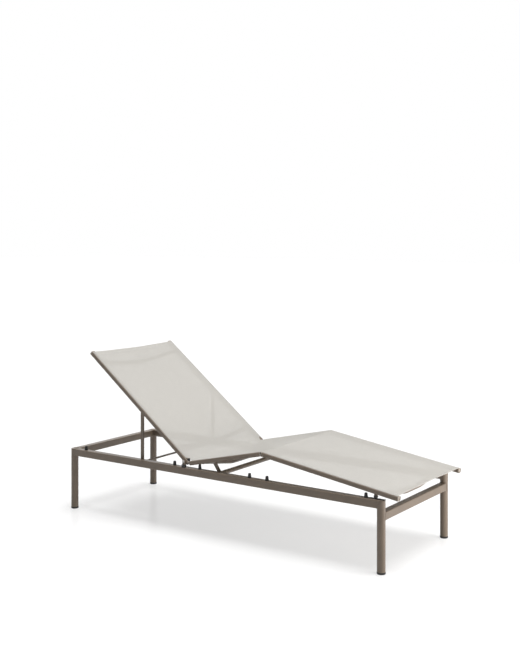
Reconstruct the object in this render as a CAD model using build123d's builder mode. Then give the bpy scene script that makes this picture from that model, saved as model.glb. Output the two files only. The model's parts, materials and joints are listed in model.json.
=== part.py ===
from build123d import *
from math import asin, atan2, cos, degrees, hypot, radians, sin
import os

# A sun lounger: a low tube base on four legs, with a hinged bed of three sling sections on it.
# Millimetres. X runs from the head to the foot, Y from the right hand to the left, Z up.
# Left and right are those of somebody who lies on it. The origin is under the middle, on the ground.

# Base frame
leg_spacing = 1850.0          # head leg centre to foot leg centre
rail_spacing = 640.0          # side rail centre to side rail centre
rail_top = 320.0              # top of the side and head rails
tube = 36.0                   # square tube of the base rails
tube_wall = 2.0
tube_corner = 4.0
leg_diameter = 38.0
foot_rail_drop = 52.0         # top of the foot rail below the top of the side rails
weld_gap = 0.2                # left at each welded or fitted joint
fit_clearance = 0.05          # radial, between fixed pieces
shaft_clearance = 0.06        # radial, between a pin and what turns on it
running_gap = 0.3             # between moving pieces that pass or rest on each other
cap_thickness = 2.0
glide_height = 9.0
glide_plug = 22.0
glide_plug_wall = 3.0
overrun = 1.0                 # cutters past the faces they cut

# Bed sections
bed_rail_width = 24.0
bed_rail_height = 21.0
bed_rail_corner = 5.0
bed_rail_wall = 1.6
bed_rail_inset = 5.5          # bed rail centre inboard of the base rail centre
pin_line_drop = 3.0           # pivots below the middle of the bed rails
backrest_length = 804.0       # from the backrest pivot to its upper end
backrest_tail = 17.0          # behind the pivot
backrest_angle = 37.4
pivot_from_head = 762.0       # backrest pivot from the head legs
pivot_spacing = 75.0          # backrest pivot to seat pivot
seat_tail = 45.0              # seat rail headward of its pivot
seat_reach = 388.0            # seat pivot to knee
seat_angle = 13.0
leg_rest_length = 724.0       # knee to foot end
knee_gap = 4.0                # rail end to the knee axis, each side
end_plug = 8.0
end_plug_width = 15.0
end_plug_height = 6.0

# Bumpers on the side rails
bumper_height = 21.0
bumper_base = 18.0            # diameter
bumper_tip = 13.0
bumper_rounding = 2.0
stem_diameter = 6.0
stem_length = 7.0
bumper_from_head = 84.0
bumper_before_pivot = 69.0
bumper_after_pivot = 90.0
bumper_before_knee = 75.0     # from the knee with the bed flat
bumper_after_knee = 25.0
bumper_from_foot = 75.0

# Cross bars under the bed
bar_diameter = 22.0
bar_wall = 1.8
bar_dip = 42.0                # middle of the bar under its ends
bar_flat = 150.0              # straight middle
bar_bend = 280.0              # radius between the middle and the arms
backrest_top_bar_share = 0.908  # of the length of the backrest
backrest_low_bar_at = 95.0
seat_bar_at = 20.0
leg_rest_bar_share = 0.884    # of the length of the leg rest

# Sling
sling_thickness = 1.2
sling_sag = 4.0
sling_lift = 0.6              # cloth above the rail top
sling_end = 5.0               # rail end to cloth end at the head and the foot
sling_edge_gap = 0.4          # left at each cloth edge where two sections meet
bead_margin = 9.0             # rail end to bead end
bead_diameter = 5.0
groove_diameter = 5.8
groove_wall = 1.2
groove_slot = 2.2
groove_offset = 5.0           # slot outboard of the rail centre
groove_depth = 5.4            # rail top to the groove centre

# Hinges and bolts
bolt_diameter = 8.0
bolt_head_diameter = 11.0
bolt_head_height = 3.5
bolt_end = 2.0                # bolt end short of the knob end
knob_diameter = 12.0
knob_length = 8.0
post_gap = 0.4                # post to the bed rail
post_width = 16.0
post_thickness = 8.6
post_head = 6.5               # metal above the pivot
post_rounding = 4.0
pad_height = 14.0
pad_border = 2.5
lug_width = 12.0
lug_thickness = 4.0
lug_depth = 24.0              # lug below the rail top
leaf_thickness = 3.0
leaf_gap = 0.4
leaf_length = 44.0
leaf_width = 16.0
knee_pin_head = 12.0          # diameter

# Props
rod_diameter = 10.0
backrest_rod_below_top = 18.0  # rod centre below the rail top
seat_rod_below_top = 11.0
rod_end = 3.0                 # rod past the inner face of the base rail
backrest_rod_from_pivot = 303.0
prop_arm_width = 19.0
prop_arm_thickness = 6.0
pin_diameter = 6.0
pin_head_diameter = 10.0
pin_head_height = 2.0
rack_thickness = 3.0
rack_border = 5.0
rack_end = 10.0               # rack past each end of its slot
slot_clearance = 0.5
slot_rise = 2.7               # room above the pin for its arc
notch_spacing = 40.0
notch_depth = 2.0
seat_pin_from_pivot = 84.0    # pins of the seat prop along the raised seat
seat_prop_length = 71.3
seat_arm_width = 18.0
seat_prop_bar = 22.0
seat_prop_bar_wall = 2.0
spigot_plug = 14.0
bush_diameter = 13.0
bush_length = 5.0
bush_flange = 17.0
bush_flange_thickness = 2.6

# Glide shoes under the foot end
shoe_at = 615.0               # from the knee
shoe_length = 16.0
shoe_width = 12.0
shoe_shoulder = 4.0           # flat top above the middle of the round
bracket_length = 14.0
bracket_width = 9.0
strip_thickness = 1.5
strip_width = 16.0
strip_length = 76.0
strip_reach = 16.0            # strip past the foot leg centre

# Places worked out from the sizes
tube_half = tube / 2
leg_radius = leg_diameter / 2
rail_half_height = bed_rail_height / 2
rail_y = rail_spacing / 2
bed_z = rail_top + bumper_height + running_gap + rail_half_height - pin_line_drop
bed_outer = bed_rail_inset - bed_rail_width / 2
bed_inner = bed_rail_inset + bed_rail_width / 2
plate_face = bed_inner + weld_gap
arm_face = plate_face + rack_thickness + leaf_gap
post_outer = bed_outer - post_gap - post_thickness
shoe_z = rail_top + strip_thickness + running_gap + shoe_length / 2
shoe_drop = bed_z - shoe_z
seat_rise = seat_reach * sin(radians(seat_angle))
shoe_radius = hypot(shoe_at, shoe_drop)
leg_rest_tilt = degrees(asin((seat_rise + shoe_drop) / shoe_radius) - atan2(shoe_drop, shoe_at))
knee_from_head = pivot_from_head + pivot_spacing + seat_reach * cos(radians(seat_angle))
foot_end_from_head = knee_from_head + leg_rest_length * cos(radians(leg_rest_tilt))
foot_end_from_head += (rail_half_height + pin_line_drop) * sin(radians(leg_rest_tilt))
head_leg_x = (leg_radius - foot_end_from_head) / 2
foot_leg_x = head_leg_x + leg_spacing
backrest_pivot_x = head_leg_x + pivot_from_head
seat_pivot_x = backrest_pivot_x + pivot_spacing
knee_x = head_leg_x + knee_from_head
flat_knee_x = seat_pivot_x + seat_reach
knee_z = bed_z + seat_rise
backrest_rod_z = rail_top - backrest_rod_below_top
backrest_rod_drop = bed_z - backrest_rod_z
seat_rod_z = rail_top - seat_rod_below_top
seat_rod_drop = bed_z - seat_rod_z
backrest_top_bar_at = backrest_length * backrest_top_bar_share
leg_rest_bar_at = leg_rest_length * leg_rest_bar_share
backrest_rod_x = backrest_pivot_x - backrest_rod_from_pivot
sides = {"left": 1, "right": -1}

# One plane for each section: X along its rails from the pivot, Z square to the bed, through the pivots
level = Plane(origin=(0, 0, 0), x_dir=(1, 0, 0), z_dir=(0, 0, 1))
backrest_cos = cos(radians(backrest_angle))
backrest_sin = sin(radians(backrest_angle))
backrest = Plane(origin=(backrest_pivot_x, 0, bed_z), x_dir=(-backrest_cos, 0, backrest_sin),
                 z_dir=(backrest_sin, 0, backrest_cos))
seat_cos = cos(radians(seat_angle))
seat_sin = sin(radians(seat_angle))
seat = Plane(origin=(seat_pivot_x, 0, bed_z), x_dir=(seat_cos, 0, seat_sin), z_dir=(-seat_sin, 0, seat_cos))
tilt_cos = cos(radians(leg_rest_tilt))
tilt_sin = sin(radians(leg_rest_tilt))
leg_rest = Plane(origin=(knee_x, 0, knee_z), x_dir=(tilt_cos, 0, -tilt_sin), z_dir=(tilt_sin, 0, tilt_cos))

# Each prop has a plane of its own, with X from its rod to its pins
backrest_pin_at = backrest_rod_from_pivot / backrest_cos
backrest_prop_length = backrest_rod_from_pivot * backrest_sin / backrest_cos + backrest_rod_drop
backrest_pin_flat_at = backrest_rod_from_pivot + (backrest_prop_length ** 2 - backrest_rod_drop ** 2) ** 0.5
backrest_prop = Plane(origin=(backrest_rod_x, 0, backrest_rod_z), x_dir=(0, 0, 1), z_dir=(1, 0, 0))
seat_pin_x = seat_pivot_x + seat_pin_from_pivot * seat_cos
seat_pin_z = bed_z + seat_pin_from_pivot * seat_sin
seat_rod_x = seat_pin_x + (seat_prop_length ** 2 - (seat_pin_z - seat_rod_z) ** 2) ** 0.5
seat_pin_flat_at = seat_rod_x - seat_pivot_x - (seat_prop_length ** 2 - seat_rod_drop ** 2) ** 0.5
seat_prop = Plane(origin=(seat_rod_x, 0, seat_rod_z), x_dir=(seat_pin_x - seat_rod_x, 0, seat_pin_z - seat_rod_z),
                  z_dir=(seat_pin_z - seat_rod_z, 0, seat_rod_x - seat_pin_x))
rod_places = [(backrest_rod_x, backrest_rod_z), (seat_rod_x, seat_rod_z)]

os.makedirs("parts", exist_ok=True)


def save(piece, name):
    """Label a finished piece and write its STEP file."""
    piece.part.label = name
    export_step(piece.part, f"parts/{name}.step")


def within(section, plane):
    """A plane given in a section's own axes, placed on the real section."""
    return Plane(section.location * plane.location)


def hand(section, side):
    """The sign of a side across a section, for a section's own Y may point to the right."""
    return side if section.y_dir.Y > 0 else -side


def across(section, along=0, lift=0):
    """The plane square to the rails of a section: X across it, Y up."""
    return within(section, Plane(origin=(along, 0, lift), x_dir=(0, 1, 0), z_dir=(1, 0, 0)))


def beside(section, side, inset):
    """The plane along a rail, an inset inboard of the side rail's middle: X along it, Y up."""
    y = hand(section, side) * (rail_y - inset)
    return within(section, Plane(origin=(0, y, 0), x_dir=(1, 0, 0), z_dir=(0, -1, 0)))


def inboard(section, side, amount):
    """The length of an extrusion inboard from a plane beside a rail."""
    return hand(section, side) * amount


def disc(section, side, inset, depth, radius, place, mode=Mode.ADD):
    """A round pin, head or hole that runs inboard from an inset, in the part that is open."""
    with BuildSketch(beside(section, side, inset)) as face:
        with Locations(place):
            Circle(radius)
    extrude(face.sketch, amount=inboard(section, side, depth), mode=mode)


# Legs: round tubes with a flat cap, on plastic glides
leg_places = {"head_left": (head_leg_x, rail_y), "head_right": (head_leg_x, -rail_y),
              "foot_left": (foot_leg_x, rail_y), "foot_right": (foot_leg_x, -rail_y)}
for place, centre in leg_places.items():
    with BuildPart() as leg:
        with BuildSketch(Plane.XY.offset(glide_height + weld_gap)):
            with Locations(centre):
                Circle(leg_radius)
                Circle(leg_radius - tube_wall, mode=Mode.SUBTRACT)
        extrude(amount=rail_top - cap_thickness - glide_height - 2 * weld_gap)
    save(leg, f"leg_{place}")

with BuildPart() as leg_caps:
    with BuildSketch(Plane.XY.offset(rail_top - cap_thickness)):
        with Locations(*leg_places.values()):
            Circle(leg_radius)
    extrude(amount=cap_thickness)
    fillet(leg_caps.edges().filter_by(GeomType.CIRCLE).group_by(Axis.Z)[-1], cap_thickness / 2)
save(leg_caps, "leg_caps")

with BuildPart() as leg_glides:
    with BuildSketch():
        with Locations(*leg_places.values()):
            Circle(leg_radius)
    extrude(amount=glide_height)
    fillet(leg_glides.edges().filter_by(GeomType.CIRCLE).group_by(Axis.Z)[0], tube_wall)
    with BuildSketch(Plane.XY.offset(glide_height)):
        with Locations(*leg_places.values()):
            Circle(leg_radius - tube_wall - weld_gap)
            Circle(leg_radius - tube_wall - weld_gap - glide_plug_wall, mode=Mode.SUBTRACT)
    extrude(amount=glide_plug)
save(leg_glides, "leg_glides")


# Base rails: square tubes whose ends are saddle cut to the legs
def square_tube():
    """The section of a base rail, in the sketch that is open."""
    RectangleRounded(tube, tube, tube_corner)
    RectangleRounded(tube - 2 * tube_wall, tube - 2 * tube_wall, tube_corner - tube_wall, mode=Mode.SUBTRACT)


def cut_saddles(places, top):
    """Cut the open rail back to the round legs at its two ends."""
    with BuildSketch(Plane.XY.offset(top + overrun)) as saddles:
        with Locations(*places):
            Circle(leg_radius + weld_gap)
    extrude(saddles.sketch, amount=-(tube + 2 * overrun), mode=Mode.SUBTRACT)


bumper_xs = [head_leg_x + bumper_from_head, backrest_pivot_x - bumper_before_pivot,
             backrest_pivot_x + bumper_after_pivot, flat_knee_x - bumper_before_knee,
             flat_knee_x + bumper_after_knee, foot_leg_x - bumper_from_foot]
bumper_places = {side: [(x, side * rail_y) for x in bumper_xs] for side in sides.values()}

for name, side in sides.items():
    with BuildPart() as side_rail:
        with BuildSketch(across(level, head_leg_x, rail_top - tube_half)):
            with Locations((side * rail_y, 0)):
                square_tube()
        extrude(amount=leg_spacing)
        cut_saddles([(head_leg_x, side * rail_y), (foot_leg_x, side * rail_y)], rail_top)
        with BuildSketch(Plane.XY.offset(rail_top + overrun)):
            with Locations(*bumper_places[side]):
                Circle(stem_diameter / 2 + fit_clearance)
        extrude(amount=-(tube_wall + 2 * overrun), mode=Mode.SUBTRACT)
        for rod in rod_places:
            disc(level, side, tube_half - tube_wall - overrun, tube_wall + 2 * overrun,
                 bush_diameter / 2 + fit_clearance, rod, Mode.SUBTRACT)
    save(side_rail, f"side_rail_{name}")

def make_cross_rail(x, top):
    """A rail from leg to leg across the bed, in the part that is open."""
    with BuildSketch(Plane(origin=(x, -rail_y, top - tube_half), x_dir=(1, 0, 0), z_dir=(0, 1, 0))) as face:
        square_tube()
    extrude(face.sketch, amount=rail_spacing)
    cut_saddles([(x, -rail_y), (x, rail_y)], top)


# The head rail is flush with the side rails, so it is cut back to their inner faces as well
with BuildPart() as head_rail:
    make_cross_rail(head_leg_x, rail_top)
    with BuildSketch(Plane.XY.offset(rail_top + overrun)):
        with Locations((head_leg_x, rail_y), (head_leg_x, -rail_y)):
            Rectangle(tube, tube + 2 * weld_gap, align=(Align.MIN, Align.CENTER))
    extrude(amount=-(tube + 2 * overrun), mode=Mode.SUBTRACT)
save(head_rail, "head_rail")

with BuildPart() as foot_rail:
    make_cross_rail(foot_leg_x, rail_top - foot_rail_drop)
save(foot_rail, "foot_rail")

# Bumpers: tapered rubber buttons that the bed rails lie on, pushed into the side rails
bumper_taper = degrees(atan2((bumper_base - bumper_tip) / 2, bumper_height))
with BuildPart() as rail_bumpers:
    with BuildSketch(Plane.XY.offset(rail_top)):
        with Locations(*bumper_places[1], *bumper_places[-1]):
            Circle(bumper_base / 2)
    extrude(amount=bumper_height, taper=bumper_taper)
    fillet(rail_bumpers.edges().filter_by(GeomType.CIRCLE).group_by(Axis.Z)[-1], bumper_rounding)
    with BuildSketch(Plane.XY.offset(rail_top)):
        with Locations(*bumper_places[1], *bumper_places[-1]):
            Circle(stem_diameter / 2)
    extrude(amount=-stem_length)
save(rail_bumpers, "rail_bumpers")

# Pivot posts: upright bars on the outer part of each side rail, with the backrest bolts in them
for name, side in sides.items():
    with BuildPart() as post:
        with BuildSketch(beside(level, side, post_outer)):
            with Locations((backrest_pivot_x, rail_top + weld_gap)):
                Rectangle(post_width, bed_z + post_head - rail_top - weld_gap, align=(Align.CENTER, Align.MIN))
        extrude(amount=inboard(level, side, post_thickness))
        fillet(post.edges().filter_by(Axis.Y).group_by(Axis.Z)[-1], post_rounding)
        disc(level, side, post_outer - overrun, post_thickness + 2 * overrun,
             bolt_diameter / 2 + fit_clearance, (backrest_pivot_x, bed_z), Mode.SUBTRACT)
    save(post, f"pivot_post_{name}")

# The post's plastic foot goes round it on three sides
pad_outer = post_outer - pad_border
with BuildPart() as pivot_post_pads:
    for side in sides.values():
        with BuildSketch(Plane.XY.offset(rail_top)):
            with Locations((backrest_pivot_x, side * (rail_y - (pad_outer + bed_outer - post_gap) / 2))):
                Rectangle(post_width + 2 * pad_border, bed_outer - post_gap - pad_outer)
            with Locations((backrest_pivot_x, side * (rail_y - (post_outer + bed_outer) / 2))):
                Rectangle(post_width + 2 * weld_gap, bed_outer - post_outer + 2 * weld_gap, mode=Mode.SUBTRACT)
        extrude(amount=pad_height)
save(pivot_post_pads, "pivot_post_pads")

with BuildPart() as backrest_pivot_bolts:
    for side in sides.values():
        disc(level, side, post_outer - bolt_head_height, bolt_head_height, bolt_head_diameter / 2,
             (backrest_pivot_x, bed_z))
        disc(level, side, post_outer, plate_face + knob_length - bolt_end - post_outer, bolt_diameter / 2,
             (backrest_pivot_x, bed_z))
save(backrest_pivot_bolts, "backrest_pivot_bolts")

with BuildPart() as pivot_knobs:
    for side in sides.values():
        knob_face = bed_inner + running_gap
        disc(level, side, knob_face, knob_length, knob_diameter / 2, (backrest_pivot_x, bed_z))
        disc(level, side, knob_face - overrun, knob_length - bolt_end + overrun, bolt_diameter / 2 + fit_clearance,
             (backrest_pivot_x, bed_z), Mode.SUBTRACT)
save(pivot_knobs, "pivot_knobs")

# Seat lugs: plates on the inner faces of the side rails, with a bolt each into the seat rails
lug_face = tube_half + weld_gap
with BuildPart() as seat_pivot_lugs:
    for side in sides.values():
        with BuildSketch(beside(level, side, lug_face)):
            with Locations((seat_pivot_x, rail_top - lug_depth)):
                Rectangle(lug_width, bed_z - rail_top + lug_depth, align=(Align.CENTER, Align.MIN))
            with Locations((seat_pivot_x, bed_z)):
                Circle(lug_width / 2)
                Circle(bolt_diameter / 2 + fit_clearance, mode=Mode.SUBTRACT)
        extrude(amount=inboard(level, side, lug_thickness))
save(seat_pivot_lugs, "seat_pivot_lugs")

with BuildPart() as seat_pivot_bolts:
    for side in sides.values():
        disc(level, side, lug_face + lug_thickness, bolt_head_height, bolt_head_diameter / 2, (seat_pivot_x, bed_z))
        disc(level, side, bed_outer, lug_face + lug_thickness - bed_outer, bolt_diameter / 2, (seat_pivot_x, bed_z))
save(seat_pivot_bolts, "seat_pivot_bolts")

# Bushes: flanged plastic sleeves in the side rails for the two prop rods
with BuildPart() as rod_bushes:
    for side in sides.values():
        for rod in rod_places:
            disc(level, side, tube_half, bush_flange_thickness, bush_flange / 2, rod)
            disc(level, side, tube_half - bush_length, bush_length, bush_diameter / 2, rod)
            disc(level, side, tube_half - bush_length - overrun, bush_length + bush_flange_thickness + 2 * overrun,
                 rod_diameter / 2 + shaft_clearance, rod, Mode.SUBTRACT)
save(rod_bushes, "rod_bushes")

# Wear strips: thin plastic runs on the side rails for the shoes of the foot end
with BuildPart() as wear_strips:
    with BuildSketch(Plane.XY.offset(rail_top)):
        for side in sides.values():
            with Locations((foot_leg_x + strip_reach, side * (rail_y - bed_rail_inset))):
                Rectangle(strip_length, strip_width, align=(Align.MAX, Align.CENTER))
    extrude(amount=strip_thickness)
save(wear_strips, "wear_strips")


# Bed rails: sling tracks, hollow, with a slotted groove for the bead of the cloth near their outer edge
bead_y = rail_y - bed_rail_inset + groove_offset


def bed_rail_profile(sign):
    """The section of a bed rail in a sketch across the bed, on the side of the sign."""
    with Locations((sign * (rail_y - bed_rail_inset), 0)):
        RectangleRounded(bed_rail_width, bed_rail_height, bed_rail_corner)
        RectangleRounded(bed_rail_width - 2 * bed_rail_wall, bed_rail_height - 2 * bed_rail_wall,
                         bed_rail_corner - bed_rail_wall, mode=Mode.SUBTRACT)
    groove_y = sign * bead_y
    with Locations((groove_y, rail_half_height - groove_depth)):
        Circle(groove_diameter / 2 + groove_wall)
    with Locations((groove_y, rail_half_height)):
        Rectangle(groove_slot + 2 * groove_wall, groove_depth, align=(Align.CENTER, Align.MAX))
    with Locations((groove_y, rail_half_height - groove_depth)):
        Circle(groove_diameter / 2, mode=Mode.SUBTRACT)
    with Locations((groove_y, rail_half_height)):
        Rectangle(groove_slot, 2 * groove_depth, mode=Mode.SUBTRACT)


bed_rails = [("backrest", backrest, -backrest_tail, backrest_length),
             ("seat", seat, -seat_tail, seat_reach - knee_gap),
             ("leg_rest", leg_rest, knee_gap, leg_rest_length)]
for section_name, section, start, end in bed_rails:
    for name, side in sides.items():
        with BuildPart() as bed_rail:
            with BuildSketch(across(section, start + cap_thickness, pin_line_drop)):
                bed_rail_profile(hand(section, side))
            extrude(amount=end - start - 2 * cap_thickness)
            if section is not leg_rest:
                disc(section, side, bed_outer - overrun, bed_rail_width + 2 * overrun,
                     bolt_diameter / 2 + shaft_clearance, (0, 0), Mode.SUBTRACT)
        save(bed_rail, f"{section_name}_rail_{name}")

# End caps: plastic plates with a plug into the hollow of the rail
for section_name, section, start, end in bed_rails:
    with BuildPart() as end_caps:
        for sign in (1, -1):
            for face, way in ((start, 1), (end, -1)):
                with BuildSketch(across(section, face, pin_line_drop)):
                    with Locations((sign * (rail_y - bed_rail_inset), 0)):
                        RectangleRounded(bed_rail_width, bed_rail_height, bed_rail_corner)
                extrude(amount=way * cap_thickness)
                with BuildSketch(across(section, face, pin_line_drop)):
                    with Locations((sign * (rail_y - bed_rail_inset), bed_rail_wall + fit_clearance - rail_half_height)):
                        Rectangle(end_plug_width, end_plug_height, align=(Align.CENTER, Align.MIN))
                extrude(amount=way * (cap_thickness + end_plug))
    save(end_caps, f"{section_name}_end_caps")

# Cross bars: round tubes bowed down clear of the cloth, butted to the inner faces of the bed rails
bar_end_y = rail_y - plate_face
bar_places = [("backrest_top_bar", backrest, backrest_top_bar_at), ("backrest_low_bar", backrest, backrest_low_bar_at),
              ("seat_cross_bar", seat, seat_bar_at), ("leg_rest_cross_bar", leg_rest, leg_rest_bar_at)]
bar_path_y = rail_y - bed_rail_inset
for name, section, along in bar_places:
    with BuildPart() as cross_bar:
        with BuildLine(across(section, along, pin_line_drop)) as bow:
            FilletPolyline((-bar_path_y, 0), (-bar_flat / 2, -bar_dip), (bar_flat / 2, -bar_dip), (bar_path_y, 0),
                           radius=bar_bend)
        with BuildSketch(Plane(origin=bow.line @ 0, z_dir=bow.line % 0)):
            Circle(bar_diameter / 2)
            Circle(bar_diameter / 2 - bar_wall, mode=Mode.SUBTRACT)
        sweep(path=bow.line)
        with BuildSketch(across(section, along, pin_line_drop)):
            Rectangle(2 * bar_end_y, 4 * bar_dip)
        extrude(amount=bar_diameter, both=True, mode=Mode.INTERSECT)
    save(cross_bar, name)


# Slings: cloth held by a bead in the groove of each rail, with a slight sag between them
def cloth_profile():
    """The section of the cloth between two rails, in a sketch across the bed."""
    low = rail_half_height + sling_lift
    with BuildLine() as outline:
        edge_y = bead_y + sling_thickness / 2
        under = ThreePointArc((-edge_y, low), (0, low - sling_sag), (edge_y, low))
        over = ThreePointArc((-edge_y, low + sling_thickness), (0, low + sling_thickness - sling_sag),
                             (edge_y, low + sling_thickness))
        Line(under @ 0, over @ 0)
        Line(under @ 1, over @ 1)
    make_face(outline.line.edges())


def bead_profile():
    """The sections of the beads and of their necks up to the cloth."""
    with Locations((bead_y, rail_half_height - groove_depth), (-bead_y, rail_half_height - groove_depth)):
        Circle(bead_diameter / 2)
        Rectangle(sling_thickness, groove_depth + sling_lift + sling_thickness / 2, align=(Align.CENTER, Align.MIN))


# The backrest and seat cloths end where their upper faces meet in the crease between them
cloth_top = rail_half_height + pin_line_drop + sling_lift + sling_thickness
crease_share = seat_cos / seat_sin
backrest_cloth_tail = pivot_spacing - cloth_top * (backrest_sin + seat_sin)
backrest_cloth_tail -= cloth_top * crease_share * (seat_cos - backrest_cos)
backrest_cloth_tail /= backrest_cos + crease_share * backrest_sin
seat_cloth_tail = (backrest_cloth_tail * backrest_sin + cloth_top * (seat_cos - backrest_cos)) / seat_sin
slings = [("backrest", backrest, sling_edge_gap - backrest_cloth_tail, backrest_length - sling_end,
           bead_margin - backrest_tail, backrest_length - bead_margin),
          ("seat", seat, sling_edge_gap - seat_cloth_tail, seat_reach - sling_edge_gap,
           bead_margin - seat_tail, seat_reach - knee_gap - bead_margin),
          ("leg_rest", leg_rest, sling_edge_gap, leg_rest_length - sling_end,
           knee_gap + bead_margin, leg_rest_length - bead_margin)]
for section_name, section, start, end, bead_start, bead_end in slings:
    with BuildPart() as sling:
        with BuildSketch(across(section, start, pin_line_drop)):
            cloth_profile()
        extrude(amount=end - start)
        with BuildSketch(across(section, bead_start, pin_line_drop)):
            bead_profile()
        extrude(amount=bead_end - bead_start)
    save(sling, f"{section_name}_sling")


# Racks: slotted plates on the inner faces of the bed rails, in which the pins of the props run
def make_rack(section, side, near, far):
    """A rack whose slot lets a pin run from near to far along the section."""
    slot_low = -(pin_diameter / 2 + slot_clearance)
    slot_high = pin_diameter / 2 + slot_clearance + slot_rise
    low = slot_low - notch_depth - rack_border
    high = slot_high + rack_border
    end = pin_diameter / 2 + slot_clearance
    with BuildSketch(beside(section, side, plate_face)) as face:
        with Locations(((near + far) / 2, (low + high) / 2)):
            RectangleRounded(far - near + 2 * (end + rack_end), high - low, rack_border)
        with Locations(((near + far) / 2, (slot_low + slot_high) / 2)):
            RectangleRounded(far - near + 2 * end, slot_high - slot_low, end, mode=Mode.SUBTRACT)
        notches = 1 + int((far - near) // notch_spacing)
        with Locations(*[(near + k * notch_spacing, -notch_depth) for k in range(notches)]):
            Circle(end, mode=Mode.SUBTRACT)
    extrude(face.sketch, amount=inboard(section, side, rack_thickness))


for name, side in sides.items():
    with BuildPart() as rack:
        make_rack(backrest, side, backrest_pin_at, backrest_pin_flat_at)
    save(rack, f"backrest_rack_{name}")
    with BuildPart() as rack:
        make_rack(seat, side, seat_pin_flat_at, seat_pin_from_pivot)
    save(rack, f"seat_rack_{name}")

# Backrest prop: two flat arms on a round rod, with a pin each that runs in the racks
prop_rod_inset = tube_half - rod_end
for name, side in sides.items():
    with BuildPart() as arm:
        with BuildSketch(beside(backrest_prop, side, arm_face)):
            with Locations((backrest_prop_length / 2, 0)):
                SlotCenterToCenter(backrest_prop_length, prop_arm_width)
            with Locations((0, 0)):
                Circle(rod_diameter / 2 + fit_clearance, mode=Mode.SUBTRACT)
            with Locations((backrest_prop_length, 0)):
                Circle(pin_diameter / 2 + fit_clearance, mode=Mode.SUBTRACT)
        extrude(amount=inboard(backrest_prop, side, prop_arm_thickness))
    save(arm, f"backrest_prop_arm_{name}")

with BuildPart() as backrest_prop_rod:
    with BuildSketch(Plane.XZ.offset(prop_rod_inset - rail_y)):
        with Locations((backrest_rod_x, backrest_rod_z)):
            Circle(rod_diameter / 2)
    extrude(amount=2 * (rail_y - prop_rod_inset))
save(backrest_prop_rod, "backrest_prop_rod")


def make_prop_pins(section, length):
    """A headed pin at the end of each arm, out through the arm and the rack."""
    for side in sides.values():
        disc(section, side, plate_face, arm_face + prop_arm_thickness - plate_face, pin_diameter / 2, (length, 0))
        disc(section, side, arm_face + prop_arm_thickness, pin_head_height, pin_head_diameter / 2, (length, 0))


with BuildPart() as backrest_prop_pins:
    make_prop_pins(backrest_prop, backrest_prop_length)
save(backrest_prop_pins, "backrest_prop_pins")

# Seat prop: short arms on a tube whose end plugs turn in the side rails
for name, side in sides.items():
    with BuildPart() as arm:
        with BuildSketch(beside(seat_prop, side, arm_face)):
            with Locations((seat_prop_length / 2, 0)):
                SlotCenterToCenter(seat_prop_length, seat_arm_width)
            with Locations((0, 0)):
                Circle(seat_prop_bar / 2)
                Circle(rod_diameter / 2 + fit_clearance, mode=Mode.SUBTRACT)
            with Locations((seat_prop_length, 0)):
                Circle(pin_diameter / 2 + fit_clearance, mode=Mode.SUBTRACT)
        extrude(amount=inboard(seat_prop, side, prop_arm_thickness))
    save(arm, f"seat_prop_arm_{name}")

tube_face = arm_face + prop_arm_thickness + weld_gap
with BuildPart() as seat_prop_tube:
    with BuildSketch(Plane.XZ.offset(tube_face - rail_y)):
        with Locations((seat_rod_x, seat_rod_z)):
            Circle(seat_prop_bar / 2)
            Circle(seat_prop_bar / 2 - seat_prop_bar_wall, mode=Mode.SUBTRACT)
    extrude(amount=2 * (rail_y - tube_face))
save(seat_prop_tube, "seat_prop_tube")

with BuildPart() as seat_prop_spigots:
    for side in sides.values():
        disc(level, side, prop_rod_inset, tube_face - prop_rod_inset, rod_diameter / 2, (seat_rod_x, seat_rod_z))
        disc(level, side, tube_face, spigot_plug, seat_prop_bar / 2 - seat_prop_bar_wall - fit_clearance,
             (seat_rod_x, seat_rod_z))
save(seat_prop_spigots, "seat_prop_spigots")

with BuildPart() as seat_prop_pins:
    make_prop_pins(seat_prop, seat_prop_length)
save(seat_prop_pins, "seat_prop_pins")


# Knee hinges: a leaf on each rail, side by side, with a headed pin through both
def make_leaf(section, side, eye, tip, inset, thickness, hole):
    """A plate along a rail from an eye to a tip, on the inner face of the rail."""
    middle = (eye + tip) / 2
    with BuildSketch(beside(section, side, inset)) as face:
        with Locations((middle, 0)):
            Rectangle(abs(tip - eye), leaf_width)
        with Locations((eye, 0)):
            Circle(leaf_width / 2)
            Circle(hole, mode=Mode.SUBTRACT)
    extrude(face.sketch, amount=inboard(section, side, thickness))


with BuildPart() as knee_seat_leaves:
    for side in sides.values():
        make_leaf(seat, side, seat_reach, seat_reach - leaf_length, plate_face, leaf_thickness,
                  bolt_diameter / 2 + fit_clearance)
save(knee_seat_leaves, "knee_seat_leaves")

leg_leaf_face = plate_face + leaf_thickness + leaf_gap
leaf_clear = leaf_width / 2 + knee_gap
with BuildPart() as knee_leg_leaves:
    for side in sides.values():
        make_leaf(leg_rest, side, 0, leaf_length, leg_leaf_face, leaf_thickness, bolt_diameter / 2 + shaft_clearance)
        with BuildSketch(beside(leg_rest, side, plate_face)) as spacer:
            with Locations(((leaf_clear + leaf_length) / 2, 0)):
                Rectangle(leaf_length - leaf_clear, leaf_width)
        extrude(spacer.sketch, amount=inboard(leg_rest, side, leaf_thickness + leaf_gap))
save(knee_leg_leaves, "knee_leg_leaves")

with BuildPart() as knee_pins:
    for side in sides.values():
        disc(seat, side, plate_face, leg_leaf_face + leaf_thickness + running_gap - plate_face, bolt_diameter / 2,
             (seat_reach, 0))
        disc(seat, side, leg_leaf_face + leaf_thickness + running_gap, pin_head_height, knee_pin_head / 2,
             (seat_reach, 0))
save(knee_pins, "knee_pins")

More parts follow.
